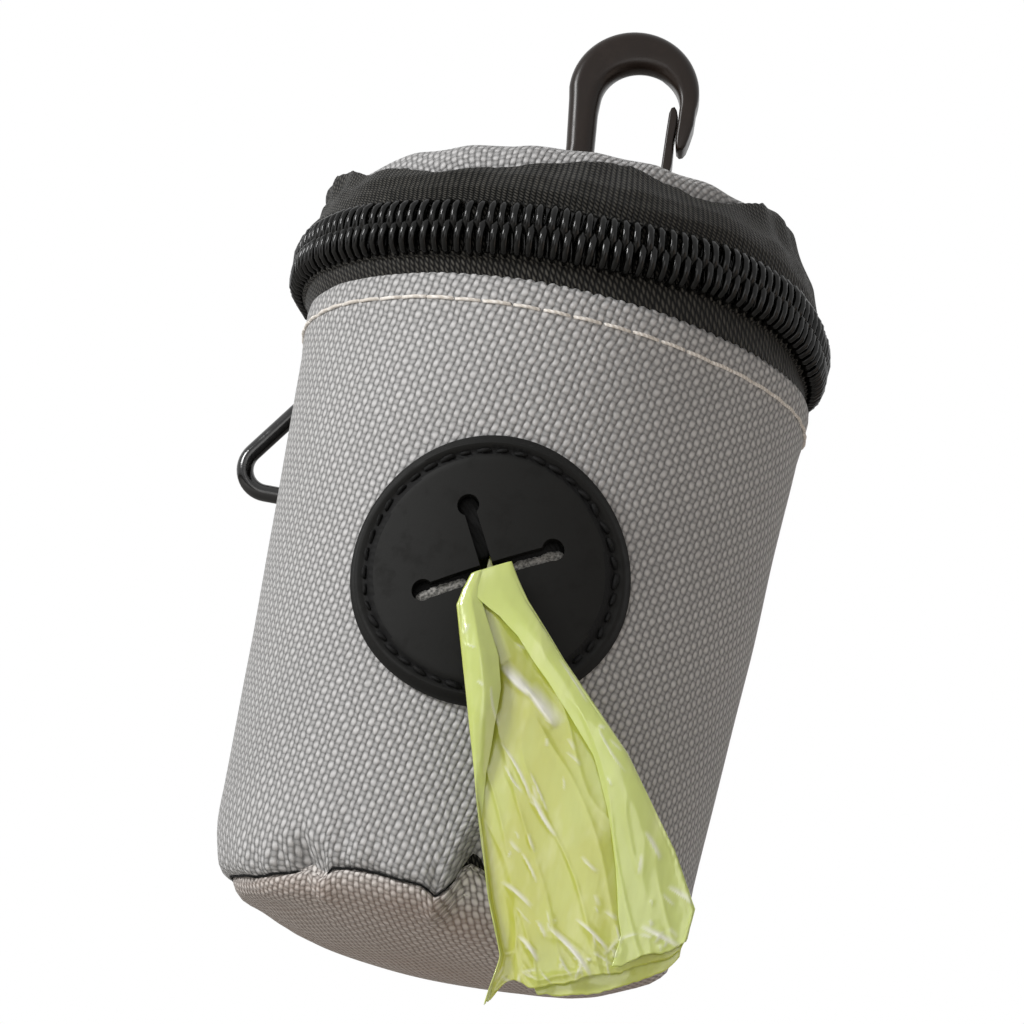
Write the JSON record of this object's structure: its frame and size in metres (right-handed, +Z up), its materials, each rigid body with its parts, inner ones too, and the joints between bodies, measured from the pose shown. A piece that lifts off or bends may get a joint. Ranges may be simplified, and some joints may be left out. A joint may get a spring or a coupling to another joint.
{
  "type": "dog poop bag dispenser",
  "caption": "Round zipped fabric pouch that holds a roll of bags, with a slit patch for drawing one out and a snap hook that hangs it from a lead.",
  "frame": {"origin": "centre of the snap hook's eye, from which the pouch hangs", "axes": "+Z up along the pouch's axis; -Y towards the front, where the dispensing patch is; +X to the right as seen from the front"},
  "size_m": [0.0674, 0.0665, 0.1253],
  "materials": {
    "shell_fabric": "coarse plain-woven polyester, mid grey",
    "foam": "open-cell foam sheet",
    "lining_fabric": "smooth black woven lining",
    "black_tape": "black woven zip tape and binding",
    "black_coil": "glossy black nylon coil",
    "black_silicone": "matte black silicone",
    "black_webbing": "black woven webbing",
    "black_plastic": "satin black moulded plastic",
    "black_metal": "gloss black coated metal",
    "bag_film": "thin glossy lime-green film",
    "cardboard": "plain paperboard tube"
  },
  "bodies": {
    "pouch": {"outer_wall": "shell_fabric", "wall_foam_layer": "foam", "wall_lining": "lining_fabric", "base_panel": "shell_fabric", "base_pad": "foam", "base_lining": "lining_fabric", "base_binding": "black_tape", "lower_zip_tape": "black_tape", "lower_zip_coil": "black_coil", "upper_coil_tails": "black_coil", "zip_end_stops": "black_coil", "back_bridge": "black_tape", "dispenser_patch": "black_silicone", "bag_feed": "bag_film", "back_strap": "black_webbing", "side_tab": "black_webbing"},
    "lid": {"lid_panel": "shell_fabric", "lid_foam_pad": "foam", "lid_lining": "lining_fabric", "lid_binding": "black_tape", "upper_zip_tape": "black_tape", "upper_zip_coil": "black_coil"},
    "slider": {"zip_slider": "black_metal"},
    "pull": {"pull_tab": "black_metal"},
    "roll": {"bag_roll": "bag_film", "roll_core": "cardboard"},
    "tail": {"bag_tail": "bag_film"},
    "swivel": {"swivel_base": "black_plastic"},
    "hook": {"snap_hook": "black_plastic", "gate_pin": "black_metal"},
    "gate": {"hook_gate": "black_plastic"},
    "clip": {"clip_wire": "black_metal"},
    "clip_lever": {"clip_gate": "black_metal"}
  },
  "joints": [
    {"name": "lid_hinge", "type": "hinge", "parent": "pouch", "child": "lid", "pos_m": [0.0009, -0.0045, -0.033], "axis": [-1, 0, 0], "range_deg": [0, 100]},
    {"name": "zip_slide", "type": "hinge", "parent": "pouch", "child": "slider", "pos_m": [0.0009, -0.0315, -0.038], "axis": [0, 0, 1], "range_deg": [-284, 0]},
    {"name": "pull_swing", "type": "hinge", "parent": "slider", "child": "pull", "pos_m": [0.01855, -0.00433, -0.0389], "axis": [0.8387, -0.5446, 0], "range_deg": [0, 130]},
    {"name": "bag_pull", "type": "slide", "parent": "pouch", "child": "tail", "axis": [0.427, 0, -0.9042], "range_m": [0, 0.012]},
    {"name": "roll_spin", "type": "hinge", "parent": "pouch", "child": "roll", "pos_m": [0.0009, -0.0315, -0.0732], "axis": [0, 0, 1], "range_deg": [0, 40]},
    {"name": "hook_tilt", "type": "hinge", "parent": "pouch", "child": "swivel", "pos_m": [0.0009, 0, -0.0368], "axis": [-1, 0, 0], "range_deg": [0, 106]},
    {"name": "hook_swivel", "type": "hinge", "parent": "swivel", "child": "hook", "pos_m": [0.0009, 0, -0.0268], "axis": [0, 0, 1], "continuous": true},
    {"name": "hook_gate_press", "type": "hinge", "parent": "hook", "child": "gate", "pos_m": [0.0054, 0, -0.014], "axis": [0, -1, 0], "range_deg": [0, 25], "stiffness_Nm_per_rad": 0.02},
    {"name": "clip_swing", "type": "hinge", "parent": "pouch", "child": "clip", "pos_m": [-0.0159, -0.002, -0.0511], "axis": [0, 0, -1], "range_deg": [0, 100]},
    {"name": "clip_gate_press", "type": "hinge", "parent": "clip", "child": "clip_lever", "pos_m": [-0.02365, -0.002, -0.04191], "axis": [0, 1, 0], "range_deg": [0, 22], "stiffness_Nm_per_rad": 0.01}
  ],
  "couplings": [
    {"joint": "hook_tilt", "follows": "lid_hinge", "ratio": 1.05},
    {"joint": "roll_spin", "follows": "bag_pull", "rad_per_m": 57.143}
  ]
}
